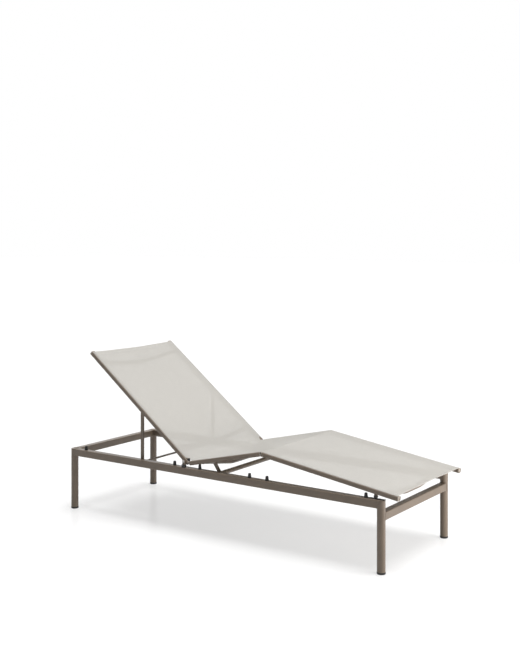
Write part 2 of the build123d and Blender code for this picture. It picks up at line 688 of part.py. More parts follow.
# Glide shoes: round-soled plastic blocks on short brackets under the leg rest rails
bracket_low = shoe_shoulder - shoe_drop
with BuildPart() as shoe_brackets:
    for sign in (1, -1):
        with BuildSketch(within(leg_rest, Plane.XY.offset(bracket_low + weld_gap))):
            with Locations((shoe_at, sign * (rail_y - bed_rail_inset))):
                RectangleRounded(bracket_length, bracket_width, weld_gap)
        extrude(amount=pin_line_drop - rail_half_height - bracket_low - 2 * weld_gap)
save(shoe_brackets, "shoe_brackets")

with BuildPart() as glide_shoes:
    for side in sides.values():
        with BuildSketch(beside(leg_rest, side, bed_rail_inset - shoe_width / 2)) as sole:
            with Locations((shoe_at, -shoe_drop)):
                Circle(shoe_length / 2)
                Rectangle(shoe_length, shoe_length, mode=Mode.INTERSECT)
                Rectangle(shoe_length, shoe_shoulder, align=(Align.CENTER, Align.MIN))
            with Locations((shoe_at, shoe_shoulder - shoe_drop)):
                Rectangle(shoe_length, shoe_length, align=(Align.CENTER, Align.MIN), mode=Mode.SUBTRACT)
        extrude(sole.sketch, amount=inboard(leg_rest, side, shoe_width))
save(glide_shoes, "glide_shoes")
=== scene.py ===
import json
import math
from collections import namedtuple

import bpy
from mathutils import Matrix, Vector
from mathutils.geometry import intersect_line_line


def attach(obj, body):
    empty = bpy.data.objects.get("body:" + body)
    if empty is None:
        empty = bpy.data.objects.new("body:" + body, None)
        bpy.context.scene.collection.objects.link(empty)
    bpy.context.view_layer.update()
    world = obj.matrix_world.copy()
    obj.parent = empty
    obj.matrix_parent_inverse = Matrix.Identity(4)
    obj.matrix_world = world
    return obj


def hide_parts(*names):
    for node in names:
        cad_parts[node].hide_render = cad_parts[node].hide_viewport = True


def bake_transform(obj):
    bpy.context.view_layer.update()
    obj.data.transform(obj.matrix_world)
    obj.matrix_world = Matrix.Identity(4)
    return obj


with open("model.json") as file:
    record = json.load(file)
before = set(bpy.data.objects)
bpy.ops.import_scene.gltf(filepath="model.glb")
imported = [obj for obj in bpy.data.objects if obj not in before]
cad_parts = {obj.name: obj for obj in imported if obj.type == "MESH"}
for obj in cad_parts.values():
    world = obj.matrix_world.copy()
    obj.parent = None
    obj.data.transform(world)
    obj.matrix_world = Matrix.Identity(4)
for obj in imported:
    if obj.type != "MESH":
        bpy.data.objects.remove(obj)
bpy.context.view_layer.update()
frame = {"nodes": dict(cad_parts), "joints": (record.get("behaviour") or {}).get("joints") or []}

for loaded in bpy.context.selected_objects:
    loaded.select_set(False)
nodes = frame["nodes"]
hinge_at = {joint["name"]: Vector(joint["pos_m"]) for joint in frame["joints"]}


# Studio: a white seamless floor that keeps a soft shadow and a faint reflection of the feet.
# The floor and the room show plain white to the camera and in reflections. A wide softbox hangs
# overhead, and a small warm one stands beyond the foot end.
def plain_rays(tree):
    """A socket that is 1 for camera, glossy and transmission rays, and 0 for diffuse ones."""
    rays = tree.nodes.new("ShaderNodeLightPath")
    mirrored = tree.nodes.new("ShaderNodeMath")
    mirrored.operation = "MAXIMUM"
    seen = tree.nodes.new("ShaderNodeMath")
    seen.operation = "MAXIMUM"
    tree.links.new(rays.outputs["Is Glossy Ray"], mirrored.inputs[0])
    tree.links.new(rays.outputs["Is Transmission Ray"], mirrored.inputs[1])
    tree.links.new(rays.outputs["Is Camera Ray"], seen.inputs[0])
    tree.links.new(mirrored.outputs[0], seen.inputs[1])
    return seen.outputs[0]


floor_paint = bpy.data.materials.new("studio_floor")
floor_paint.use_nodes = True
floor_nodes = floor_paint.node_tree.nodes
floor_links = floor_paint.node_tree.links
floor_nodes.clear()
floor_out = floor_nodes.new("ShaderNodeOutputMaterial")
floor_seen = plain_rays(floor_paint.node_tree)
floor_tone = floor_nodes.new("ShaderNodeMapRange")
floor_tone.inputs["To Min"].default_value = 0.55
floor_tone.inputs["To Max"].default_value = 0.50
floor_matt = floor_nodes.new("ShaderNodeBsdfDiffuse")
floor_gloss = floor_nodes.new("ShaderNodeBsdfGlossy")
floor_gloss.inputs["Color"].default_value = (1, 1, 1, 1)
floor_gloss.inputs["Roughness"].default_value = 0.16
floor_coat = floor_nodes.new("ShaderNodeMixShader")
floor_coat.inputs["Fac"].default_value = 0.07
floor_glow_level = floor_nodes.new("ShaderNodeMath")
floor_glow_level.operation = "MULTIPLY"
floor_glow_level.inputs[1].default_value = 0.53
floor_glow = floor_nodes.new("ShaderNodeEmission")
floor_sum = floor_nodes.new("ShaderNodeAddShader")
floor_links.new(floor_seen, floor_tone.inputs["Value"])
floor_links.new(floor_tone.outputs["Result"], floor_matt.inputs["Color"])
floor_links.new(floor_seen, floor_glow_level.inputs[0])
floor_links.new(floor_glow_level.outputs[0], floor_glow.inputs["Strength"])
floor_links.new(floor_matt.outputs[0], floor_coat.inputs[1])
floor_links.new(floor_gloss.outputs[0], floor_coat.inputs[2])
floor_links.new(floor_coat.outputs[0], floor_sum.inputs[0])
floor_links.new(floor_glow.outputs[0], floor_sum.inputs[1])
floor_links.new(floor_sum.outputs[0], floor_out.inputs["Surface"])

bpy.ops.mesh.primitive_plane_add(size=80, location=(0, 0, 0))
floor = bpy.context.object
floor.name = "studio_floor"
floor.data.materials.append(floor_paint)
floor.select_set(False)

room = bpy.data.worlds.new("studio_room")
bpy.context.scene.world = room
room.use_nodes = True
room_nodes = room.node_tree.nodes
room_links = room.node_tree.links
room_nodes.clear()
room_out = room_nodes.new("ShaderNodeOutputWorld")
room_place = room_nodes.new("ShaderNodeTexCoord")
room_side = room_nodes.new("ShaderNodeVectorMath")
room_side.operation = "DOT_PRODUCT"
room_side.inputs[1].default_value = (0.50, 0.55, 0.20)
room_level = room_nodes.new("ShaderNodeMapRange")
room_level.inputs["From Min"].default_value = -0.45
room_level.inputs["From Max"].default_value = 0.65
room_level.inputs["To Min"].default_value = 0.0
room_level.inputs["To Max"].default_value = 0.55
room_light = room_nodes.new("ShaderNodeBackground")
room_white = room_nodes.new("ShaderNodeBackground")
room_white.inputs["Color"].default_value = (1, 1, 1, 1)
room_white.inputs["Strength"].default_value = 1.0
room_mix = room_nodes.new("ShaderNodeMixShader")
room_links.new(room_place.outputs["Generated"], room_side.inputs[0])
room_links.new(room_side.outputs["Value"], room_level.inputs["Value"])
room_links.new(room_level.outputs["Result"], room_light.inputs["Strength"])
room_links.new(plain_rays(room.node_tree), room_mix.inputs["Fac"])
room_links.new(room_light.outputs[0], room_mix.inputs[1])
room_links.new(room_white.outputs[0], room_mix.inputs[2])
room_links.new(room_mix.outputs[0], room_out.inputs["Surface"])

overhead_data = bpy.data.lights.new("overhead_softbox", "SUN")
overhead_data.energy = 2.52
overhead_data.angle = math.radians(36)
overhead = bpy.data.objects.new("overhead_softbox", overhead_data)
bpy.context.collection.objects.link(overhead)
overhead_from = Vector((0.14, 0.03, 1.0))
overhead.rotation_euler = overhead_from.to_track_quat("Z", "Y").to_euler()

foot_end_data = bpy.data.lights.new("foot_end_softbox", "AREA")
foot_end_data.shape = "RECTANGLE"
foot_end_data.size = 0.9
foot_end_data.size_y = 0.6
foot_end_data.energy = 14
foot_end_data.color = (1.0, 0.95, 0.90)
foot_end = bpy.data.objects.new("foot_end_softbox", foot_end_data)
bpy.context.collection.objects.link(foot_end)
foot_end.location = (2.15, 0.30, 0.38)
foot_end_aim = Vector((0.9, 0, 0.27))
foot_end.rotation_euler = (foot_end_aim - foot_end.location).to_track_quat("-Z", "Y").to_euler()
foot_end.visible_camera = False

camera_data = bpy.data.cameras.new("camera")
camera_data.lens = 56.67
camera_data.sensor_width = 36
camera_data.shift_y = -0.1449
camera_data.clip_end = 200
camera = bpy.data.objects.new("camera", camera_data)
bpy.context.collection.objects.link(camera)
camera.location = (2.9961, -4.2539, 1.4854)
camera.rotation_euler = (math.radians(90), 0, math.radians(34.889))
bpy.context.scene.camera = camera
bpy.context.scene.view_settings.view_transform = "Standard"


# Base frame: four round legs with flat caps, square side rails, a flush head rail and a lower foot rail.
# Aluminium tube, saddle cut, welded all round and powder coated in a satin taupe after welding.
def object_noise(material, scale, detail):
    """Noise in the space of the piece itself, as a socket."""
    tree = material.node_tree
    place = tree.nodes.new("ShaderNodeTexCoord")
    noise = tree.nodes.new("ShaderNodeTexNoise")
    noise.inputs["Scale"].default_value = scale
    noise.inputs["Detail"].default_value = detail
    tree.links.new(place.outputs["Object"], noise.inputs["Vector"])
    return noise.outputs["Fac"]


def mottle(material, noise, dark, pale, rough_from, rough_to, spread=(0, 1)):
    """Lets the colour and the roughness of a material drift a little with a noise."""
    tree = material.node_tree
    surface = tree.nodes["Principled BSDF"]
    tone = tree.nodes.new("ShaderNodeValToRGB")
    for stop, position, colour in zip(tone.color_ramp.elements, spread, (dark, pale)):
        stop.position = position
        stop.color = (*colour, 1)
    rough = tree.nodes.new("ShaderNodeMapRange")
    rough.inputs["To Min"].default_value = rough_from
    rough.inputs["To Max"].default_value = rough_to
    tree.links.new(noise, tone.inputs["Fac"])
    tree.links.new(tone.outputs["Color"], surface.inputs["Base Color"])
    tree.links.new(noise, rough.inputs["Value"])
    tree.links.new(rough.outputs["Result"], surface.inputs["Roughness"])


def add_bump(material, height, strength, distance):
    """Bump on the surface of a material, from a height given as a socket."""
    tree = material.node_tree
    bump = tree.nodes.new("ShaderNodeBump")
    bump.inputs["Strength"].default_value = strength
    bump.inputs["Distance"].default_value = distance
    tree.links.new(height, bump.inputs["Height"])
    tree.links.new(bump.outputs["Normal"], tree.nodes["Principled BSDF"].inputs["Normal"])
    return bump


def powder_coat(name, colour):
    """A sprayed and baked coat with a fine orange peel and slightly eased edges."""
    coat = bpy.data.materials.new(name)
    coat.use_nodes = True
    dark, pale = [[part * level for part in colour] for level in (0.94, 1.05)]
    mottle(coat, object_noise(coat, scale=9, detail=3), dark, pale, rough_from=0.28, rough_to=0.40,
           spread=(0.3, 0.7))
    peel = add_bump(coat, object_noise(coat, scale=900, detail=2), strength=0.12, distance=0.0004)
    eased = coat.node_tree.nodes.new("ShaderNodeBevel")
    eased.samples = 4
    eased.inputs["Radius"].default_value = 0.0007
    coat.node_tree.links.new(eased.outputs["Normal"], peel.inputs["Normal"])
    return coat


def finish_nodes(material, *names):
    """Gives CAD pieces their finish."""
    for name in names:
        for place in nodes[name].material_slots:
            place.material = material


taupe = powder_coat("taupe_powder_coat", (0.207, 0.160, 0.118))
finish_nodes(taupe, "leg_head_left", "leg_head_right", "leg_foot_left", "leg_foot_right", "leg_caps",
             "side_rail_left", "side_rail_right", "head_rail", "foot_rail")


def middle(name):
    """The middle of a CAD piece's box."""
    corners = nodes[name].bound_box
    return (Vector(corners[0]) + Vector(corners[6])) / 2


sides = (("left", 1), ("right", -1))
head_rail_at = middle("head_rail")
foot_rail_at = middle("foot_rail")
side_rail_at = middle("side_rail_left")
leg_radius = 0.019
tube_half = 0.018
tube_corner = 0.004
corner_steps = 12
flat_steps = 32
leg_weld = 0.0016
bead_sides = 8
bead_ripple = 0.09
bead_ripple_steps = 4


def tube_outline():
    """Points round the outside of a square tube with rounded corners, each across and up."""
    flat_half = tube_half - tube_corner
    turns = [math.radians(90) * k / corner_steps for k in range(corner_steps)]
    edge = [(flat_half + tube_corner * math.cos(turn), flat_half + tube_corner * math.sin(turn))
            for turn in turns]
    edge += [(flat_half * (1 - 2 * k / flat_steps), tube_half) for k in range(flat_steps)]
    outline = []
    while len(outline) < 4 * len(edge):
        outline += edge
        edge = [(-up, across) for across, up in edge]
    return outline


def leg_wall(across):
    """How far the wall of a leg stands from its axis, at a distance across it."""
    return math.sqrt(leg_radius ** 2 - across ** 2)


def face_outwards():
    """Turns the faces of the active piece outwards."""
    bpy.ops.object.mode_set(mode="EDIT")
    bpy.ops.mesh.select_all(action="SELECT")
    bpy.ops.mesh.normals_make_consistent(inside=False)
    bpy.ops.object.mode_set(mode="OBJECT")


def weld_bead(name, path, thick, body):
    """A closed bead of weld along a path of points, with the ripple that the torch leaves."""
    centre = sum(path, Vector()) / len(path)
    bpy.ops.mesh.primitive_torus_add(major_segments=len(path), minor_segments=bead_sides,
                                     major_radius=1, minor_radius=0.1, location=(0, 0, 0))
    bead = bpy.context.object
    bead.name = name
    for point in bead.data.vertices:
        step, turn = divmod(point.index, bead_sides)
        here = path[step]
        on = (path[(step + 1) % len(path)] - path[step - 1]).normalized()
        out = here - centre
        out = (out - on * out.dot(on)).normalized()
        reach = thick * (1 + bead_ripple * math.sin(step * math.tau / bead_ripple_steps))
        angle = turn * math.tau / bead_sides
        point.co = here + (out * math.cos(angle) + on.cross(out) * math.sin(angle)) * reach
    face_outwards()
    bpy.ops.object.shade_smooth()
    bead.data.materials.append(taupe)
    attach(bead, body)
    bead.select_set(False)


# The seam of the flush head rail runs over the side rail on one half and over the leg on the other.
tube_ring = tube_outline()
for end_name, rail_at, on in (("head", head_rail_at, 1), ("foot", foot_rail_at, -1)):
    for side_name, side in sides:
        seam = []
        for across, up in tube_ring:
            seam.append(Vector((rail_at.x + on * leg_wall(across), side * side_rail_at.y + across,
                                side_rail_at.z + up)))
        weld_bead(f"weld_side_rail_{end_name}_{side_name}", seam, leg_weld, "base")
        seam = []
        for across, up in tube_ring:
            reach = tube_half if end_name == "head" and across > 0 else leg_wall(across)
            seam.append(Vector((rail_at.x + across, side * (side_rail_at.y - reach), rail_at.z + up)))
        weld_bead(f"weld_{end_name}_rail_{side_name}", seam, leg_weld, "base")


# Glides under the legs, tapered bumpers and wear strips on the side rails, bushes for the props' rods.
# The glides, bushes and strips are moulded nylon, the bumpers rubber, all pressed or clipped into place.
# A glide is a cup with a rounded sole, and its spigot goes up into the leg.
def moulded(name, colour, rough):
    """A moulded plastic or rubber with a fine spark-eroded grain."""
    stuff = bpy.data.materials.new(name)
    stuff.use_nodes = True
    grain = object_noise(stuff, scale=1600, detail=2)
    dark, pale = [[part * level for part in colour] for level in (0.8, 1.25)]
    mottle(stuff, grain, dark, pale, rough_from=rough - 0.06, rough_to=rough + 0.08)
    add_bump(stuff, grain, strength=0.2, distance=0.0003)
    return stuff


def pick_flat(piece, way, corners=3):
    """Leaves a piece in Edit Mode with the faces selected that look up (way 1) or down (way -1)
    and have at least so many corners."""
    bpy.ops.object.mode_set(mode="EDIT")
    bpy.ops.mesh.select_mode(type="FACE")
    bpy.ops.mesh.select_all(action="DESELECT")
    bpy.ops.object.mode_set(mode="OBJECT")
    for face in piece.data.polygons:
        face.select = face.normal.z * way > 0.9 and len(face.vertices) >= corners
    bpy.ops.object.mode_set(mode="EDIT")


def with_copies(piece, count):
    """A piece and its copies, so many in all, each with its own mesh and none of them selected."""
    piece.select_set(False)
    pieces = [piece]
    while len(pieces) < count:
        copied = piece.copy()
        copied.data = piece.data.copy()
        bpy.context.collection.objects.link(copied)
        pieces.append(copied)
    return pieces


black_nylon = moulded("black_nylon", (0.012, 0.011, 0.010), 0.5)
bumper_rubber = moulded("bumper_rubber", (0.010, 0.009, 0.009), 0.68)
finish_nodes(black_nylon, "rod_bushes", "wear_strips")
finish_nodes(bumper_rubber, "rail_bumpers")

glide_radius = 0.0196
glide_height = 0.0098
glide_corners = 64
sole_round = 0.0026
top_round = 0.0006
spigot_step = 0.0030
spigot_height = 0.020

bpy.ops.mesh.primitive_cylinder_add(vertices=glide_corners, radius=glide_radius, depth=glide_height,
                                    location=(0, 0, 0))
glide = bpy.context.object
glide.data.transform(Matrix.Translation((0, 0, glide_height / 2)))
for way, eased in ((-1, sole_round), (1, top_round)):
    pick_flat(glide, way)
    bpy.ops.mesh.bevel(offset=eased, segments=5, affect="EDGES")
pick_flat(glide, 1, glide_corners)
bpy.ops.mesh.inset(thickness=spigot_step)
bpy.ops.mesh.extrude_region_move(TRANSFORM_OT_translate={"value": (0, 0, spigot_height)})
bpy.ops.object.mode_set(mode="OBJECT")
bpy.ops.object.shade_smooth_by_angle(angle=math.radians(40))
glide.data.materials.append(black_nylon)
legs = [(f"{end_name}_{side_name}", rail_at.x, side)
        for end_name, rail_at in (("head", head_rail_at), ("foot", foot_rail_at))
        for side_name, side in sides]
for copied, (leg_name, leg_x, side) in zip(with_copies(glide, len(legs)), legs):
    copied.name = f"glide_{leg_name}"
    copied.data.transform(Matrix.Translation((leg_x, side * side_rail_at.y, 0)))
    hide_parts("leg_glides")
    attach(copied, "base")


# Backrest pivots: a short post on each side rail in a black foot, with a button-head bolt and a black knob.
# Seat pivots: a lug and a bolt inside each rail. The posts and lugs are coated, the bolts zinc-plated steel.
zinc = bpy.data.materials.new("zinc_plated_steel")
zinc.use_nodes = True
zinc.node_tree.nodes["Principled BSDF"].inputs["Metallic"].default_value = 1.0
mottle(zinc, object_noise(zinc, scale=700, detail=4), dark=(0.40, 0.39, 0.37), pale=(0.50, 0.49, 0.47),
       rough_from=0.36, rough_to=0.54)
finish_nodes(taupe, "pivot_post_left", "pivot_post_right", "seat_pivot_lugs")
finish_nodes(black_nylon, "pivot_post_pads", "pivot_knobs")

backrest_pivot = hinge_at["backrest_hinge"]
seat_pivot = hinge_at["seat_hinge"]
bolt_head_radius = 0.0056
bolt_head_height = 0.0034
bolt_corners = 24
bolt_dome = bolt_head_height * 0.55
bolt_radius = 0.0029
bolt_shank_corners = 20
socket_rim = bolt_head_radius * 0.14
socket_half = bolt_head_radius * 0.46
socket_depth = bolt_head_height * 0.6
socket_turn = math.radians(60)


def pivot_bolts(name, node, pivot, head_y, way_out, shank):
    """Two bolts through a pivot, one on each side. A head's middle is at head_y, and it looks away
    from the middle of the bed (way_out 1) or towards it (way_out -1)."""
    bpy.ops.mesh.primitive_cylinder_add(vertices=bolt_corners, radius=bolt_head_radius,
                                        depth=bolt_head_height, location=(0, 0, 0))
    bolt = bpy.context.object
    pick_flat(bolt, 1)
    bpy.ops.mesh.bevel(offset=bolt_dome, segments=4, affect="EDGES")
    pick_flat(bolt, 1, bolt_corners)
    bpy.ops.mesh.inset(thickness=socket_rim)
    bpy.ops.object.mode_set(mode="OBJECT")
    for point in bolt.data.vertices:
        if point.select:
            turn = math.atan2(point.co.y, point.co.x)
            from_flat = (turn + socket_turn / 2) % socket_turn - socket_turn / 2
            reach = socket_half / math.cos(from_flat)
            point.co.x = reach * math.cos(turn)
            point.co.y = reach * math.sin(turn)
    bpy.ops.object.mode_set(mode="EDIT")
    bpy.ops.mesh.extrude_region_move(TRANSFORM_OT_translate={"value": (0, 0, -socket_depth)})
    bpy.ops.mesh.primitive_cylinder_add(vertices=bolt_shank_corners, radius=bolt_radius, depth=shank,
                                        location=(0, 0, -(bolt_head_height + shank) / 2))
    bpy.ops.object.mode_set(mode="OBJECT")
    bpy.ops.object.shade_smooth_by_angle(angle=math.radians(35))
    bolt.data.materials.append(zinc)
    for copied, (side_name, side) in zip(with_copies(bolt, 2), sides):
        copied.name = f"{name}_{side_name}"
        turned = Matrix.Rotation(math.radians(-90) * side * way_out, 4, "X")
        copied.data.transform(Matrix.Translation((pivot.x, side * head_y, pivot.z)) @ turned)
        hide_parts(node)
        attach(copied, "base")


pivot_bolts("backrest_bolt", "backrest_pivot_bolts", backrest_pivot, head_y=0.3356, way_out=1, shank=0.040)
pivot_bolts("seat_bolt", "seat_pivot_bolts", seat_pivot, head_y=0.2979, way_out=-1, shank=0.026)


# Backrest frame: two sling rails joined by two bowed round bars, welded in, with a cap in each rail end.
# The rails are extruded aluminium, coated as the base is; the caps are moulded in a paler taupe.
Section = namedtuple("Section", "pivot on up")


def bed_section(pivot, way, tilt):
    """One section of the bed: its hinge, the way along its rails, and the way up from them."""
    tilt = math.radians(tilt)
    return Section(pivot, Vector((way * math.cos(tilt), 0, math.sin(tilt))),
                   Vector((-way * math.sin(tilt), 0, math.cos(tilt))))


def bed_point(section, along, lift, y):
    """A point of the bed: along the rails of a section from its hinge, above their line, and across."""
    return section.pivot + section.on * along + section.up * lift + Vector((0, y, 0))


backrest = bed_section(backrest_pivot, way=-1, tilt=37.4)
bed_rail_y = middle("backrest_rail_left").y
rail_inner_y = 0.3018
rail_middle = 0.003           # middle of the bed rails above the line of the hinges
bar_middle = 0.001            # the same for the bowed bars
bar_weld = 0.0013
bar_weld_ring = 0.0112
bar_weld_steps = 56
cap_size = Vector((0.0021, 0.0236, 0.0206))
cap_round = 0.0048
cap_rim = 0.0009
cap_face_reach = 0.0001
cap_plug_at = (0.006, 0, -0.0055)
cap_plug_size = 0.008
cap_plug_stretch = (1, 1.85, 0.72)
cap_plug_rim = 0.0008
finish_nodes(taupe, "backrest_rail_left", "backrest_rail_right", "backrest_top_bar", "backrest_low_bar")
cap_plastic = moulded("cap_plastic", (0.40, 0.35, 0.30), 0.45)


def bar_welds(name, section, along, body):
    """The two rings of weld where a bowed bar meets the inner faces of the bed rails."""
    for side_name, side in sides:
        ring = []
        for k in range(bar_weld_steps):
            angle = k * math.tau / bar_weld_steps
            ring.append(bed_point(section, along + bar_weld_ring * math.cos(angle),
                                  bar_middle + bar_weld_ring * math.sin(angle), side * rail_inner_y))
        weld_bead(f"{name}_weld_{side_name}", ring, bar_weld, body)


def joined(pieces, name):
    """Joins pieces into one, which is then active and selected."""
    for piece in pieces:
        piece.select_set(True)
    bpy.context.view_layer.objects.active = pieces[0]
    bpy.ops.object.join()
    pieces[0].name = name
    return pieces[0]


def end_caps(name, node, section, first, last, body):
    """Four moulded caps, each with its plug, for the ends of a pair of bed rails. A cap's edges are all
    rounded, and those near its outer face once more."""
    bpy.ops.mesh.primitive_cube_add(size=1, location=(0, 0, 0))
    cap = bpy.context.object
    cap.data.transform(Matrix.Translation((cap_size.x / 2, 0, 0)) @ Matrix.Diagonal((*cap_size, 1)))
    bpy.ops.object.mode_set(mode="EDIT")
    bpy.ops.mesh.select_mode(type="EDGE")
    bpy.ops.mesh.select_all(action="SELECT")
    bpy.ops.mesh.bevel(offset=cap_round, segments=6, affect="EDGES")
    bpy.ops.mesh.select_all(action="DESELECT")
    bpy.ops.object.mode_set(mode="OBJECT")
    for edge in cap.data.edges:
        edge.select = all(cap.data.vertices[k].co.x < cap_face_reach for k in edge.vertices)
    bpy.ops.object.mode_set(mode="EDIT")
    bpy.ops.mesh.bevel(offset=cap_rim, segments=3, affect="EDGES")
    bpy.ops.mesh.select_all(action="DESELECT")
    bpy.ops.mesh.primitive_cube_add(size=cap_plug_size, location=cap_plug_at)
    bpy.ops.transform.resize(value=cap_plug_stretch, center_override=cap_plug_at)
    bpy.ops.mesh.bevel(offset=cap_plug_rim, segments=2, affect="EDGES")
    bpy.ops.object.mode_set(mode="OBJECT")
    ends = [(side, along, way) for side in (1, -1) for along, way in ((first, 1), (last, -1))]
    caps = with_copies(cap, len(ends))
    for copied, (side, along, way) in zip(caps, ends):
        axes = Matrix((section.on * way, Vector((0, 1, 0)) * way, section.up)).transposed().to_4x4()
        spot = bed_point(section, along, rail_middle, side * bed_rail_y)
        copied.data.transform(Matrix.Translation(spot) @ axes)
    caps = joined(caps, name)
    face_outwards()
    bpy.ops.object.shade_smooth_by_angle(angle=math.radians(40))
    caps.data.materials.append(cap_plastic)
    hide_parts(node)
    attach(caps, body)
    caps.select_set(False)


bar_welds("backrest_top_bar", backrest, along=0.730, body="backrest")
bar_welds("backrest_low_bar", backrest, along=0.095, body="backrest")
end_caps("backrest_caps", "backrest_end_caps", backrest, first=-0.017, last=0.804, body="backrest")


# Sling stop: a black rubber plug pushed into the top of the right-hand backrest rail at its lower end.
# The plug closes the groove, so the edge cord of the cloth can't creep out at the crease.
plug_dome = 0.6               # as a share of the radius
plug_foot = 0.2               # as a share of the height
plug_flare = 1.12


def domed_plugs(places, radius, height, material, body):
    """Short round plugs with domed tops and flared feet, each with a name, a place and its way up."""
    bpy.ops.mesh.primitive_cylinder_add(vertices=28, radius=radius, depth=height, location=(0, 0, 0))
    plug = bpy.context.object
    plug.data.transform(Matrix.Translation((0, 0, height / 2)))
    pick_flat(plug, 1)
    bpy.ops.mesh.bevel(offset=radius * plug_dome, segments=5, affect="EDGES")
    bpy.ops.object.mode_set(mode="OBJECT")
    for point in plug.data.vertices:
        if point.co.z < height * plug_foot:
            point.co.x *= plug_flare
            point.co.y *= plug_flare
    bpy.ops.object.shade_smooth_by_angle(angle=math.radians(40))
    plug.data.materials.append(material)
    for copied, (name, place, up) in zip(with_copies(plug, len(places)), places):
        copied.name = name
        turned = up.to_track_quat("Z", "Y").to_matrix().to_4x4()
        copied.data.transform(Matrix.Translation(place) @ turned)
        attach(copied, body)


stop_at = bed_point(backrest, along=-0.0085, lift=0.0133, y=-0.3155)
domed_plugs([("sling_stop", stop_at, backrest.up)], radius=0.0064, height=0.0105,
            material=bumper_rubber, body="backrest")


# Backrest prop: two flat arms on a round rod, each with a headed pin that runs in a slotted rack.
# The arms and the rod are coated steel; the racks and pins are zinc plated, the racks riveted to the rails.
finish_nodes(taupe, "backrest_prop_arm_left", "backrest_prop_arm_right", "backrest_prop_rod")
finish_nodes(zinc, "backrest_rack_left", "backrest_rack_right", "backrest_prop_pins")
rack_inner_y = 0.2993
rivet_radius = 0.0024
rivet_dome = 0.55


def rack_rivets(name, section, places, body):
    """Domed rivets through the racks of a section, on their inner faces, each at a place along and up."""
    for side_name, side in sides:
        bpy.ops.mesh.primitive_uv_sphere_add(segments=16, ring_count=8, radius=rivet_radius,
                                             location=(0, 0, 0))
        rivet = bpy.context.object
        rivet.data.transform(Matrix.Diagonal((1, rivet_dome, 1, 1)))
        bpy.ops.object.shade_smooth()
        rivet.data.materials.append(zinc)
        rivets = with_copies(rivet, len(places))
        for copied, (along, lift) in zip(rivets, places):
            copied.data.transform(Matrix.Translation(bed_point(section, along, lift, side * rack_inner_y)))
        rivets = joined(rivets, f"{name}_{side_name}")
        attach(rivets, body)
        rivets.select_set(False)


rack_rivets("backrest_rack_rivets", backrest, body="backrest",
            places=[(0.3725, 0.0007), (0.4450, 0.0088), (0.5130, 0.0088), (0.5855, 0.0007)])


# Seat frame: two sling rails with a bowed bar, capped, with zinc-plated hinge leaves and pins for the knee.
# A black buffer closes the top of the gap at the knee, and a painted cap the hole at each pivot bolt.
seat_tilt = 13
seat = bed_section(seat_pivot, way=1, tilt=seat_tilt)
rail_outer_y = 0.3263
buffer_along = 0.3838
buffer_lift = 0.0075
finish_nodes(taupe, "seat_rail_left", "seat_rail_right", "seat_cross_bar")
finish_nodes(zinc, "knee_seat_leaves", "knee_pins")
bar_welds("seat_cross_bar", seat, along=0.020, body="seat")
end_caps("seat_caps", "seat_end_caps", seat, first=-0.045, last=0.384, body="seat")
hole_caps = [(f"seat_hole_cap_{side_name}", bed_point(seat, 0, 0, side * rail_outer_y), Vector((0, side, 0)))
             for side_name, side in sides]
domed_plugs(hole_caps, radius=0.0062, height=0.0016, material=taupe, body="seat")
buffers = []
for side_name, side in sides:
    buffer_at = bed_point(seat, buffer_along, buffer_lift, side * bed_rail_y)
    buffers.append((f"knee_buffer_{side_name}", buffer_at, seat.on))
domed_plugs(buffers, radius=0.0042, height=0.0030, material=bumper_rubber, body="seat")


# Seat prop: two short arms on a round tube that turns in the side rails on steel spigots.
# Its pins run in two more racks inside the seat rails, so the knee can be raised and laid flat.
finish_nodes(taupe, "seat_prop_arm_left", "seat_prop_arm_right", "seat_prop_tube")
finish_nodes(zinc, "seat_rack_left", "seat_rack_right", "seat_prop_pins", "seat_prop_spigots")
rack_rivets("seat_rack_rivets", seat, body="seat", places=[(0.0545, 0.0007), (0.0927, 0.0007)])


# Leg rest frame: two sling rails with a bowed bar, hinged on the seat rails at the knee.
# Near the foot end each rail has a coated bracket with a black round-soled shoe that runs on the wear strip.
leg_rest_tilt = -8.1772
leg_rest = bed_section(hinge_at["knee_hinge"], way=1, tilt=leg_rest_tilt)
finish_nodes(taupe, "leg_rest_rail_left", "leg_rest_rail_right", "leg_rest_cross_bar", "shoe_brackets")
finish_nodes(zinc, "knee_leg_leaves")
finish_nodes(black_nylon, "glide_shoes")
bar_welds("leg_rest_cross_bar", leg_rest, along=0.640, body="leg_section")
end_caps("leg_rest_caps", "leg_rest_end_caps", leg_rest, first=0.004, last=0.724, body="leg_section")


# Slings: open mesh woven from coated yarn, pulled taut between the grooves of the bed rails.
# One cloth covers the backrest, one the seat, and one runs over the knee to the foot. The first two
# meet in a closed crease at the pivots, and the ends at the head and the foot are folded hems.
mesh_cloth = bpy.data.materials.new("sling_mesh")
mesh_cloth.use_nodes = True
weave = mesh_cloth.node_tree
cloth_surface = weave.nodes["Principled BSDF"]
cloth_surface.inputs["Roughness"].default_value = 0.75
cloth_surface.inputs["Alpha"].default_value = 0.78
cloth_uv = weave.nodes.new("ShaderNodeUVMap")
cloth_uv.uv_map = "UVMap"
cross = weave.nodes.new("ShaderNodeMath")
cross.operation = "MULTIPLY"
for yarn_input, direction in zip(cross.inputs, "XY"):
    yarn = weave.nodes.new("ShaderNodeTexWave")
    yarn.bands_direction = direction
    yarn.inputs["Scale"].default_value = 240
    weave.links.new(cloth_uv.outputs["UV"], yarn.inputs["Vector"])
    weave.links.new(yarn.outputs["Fac"], yarn_input)
yarn_tone = weave.nodes.new("ShaderNodeValToRGB")
yarn_tone.color_ramp.elements[0].color = (0.60, 0.58, 0.54, 1)
yarn_tone.color_ramp.elements[1].color = (0.72, 0.70, 0.66, 1)
slub = weave.nodes.new("ShaderNodeTexNoise")
slub.inputs["Scale"].default_value = 26
slub.inputs["Detail"].default_value = 3
slub_tone = weave.nodes.new("ShaderNodeMapRange")
slub_tone.inputs["To Min"].default_value = 0.97
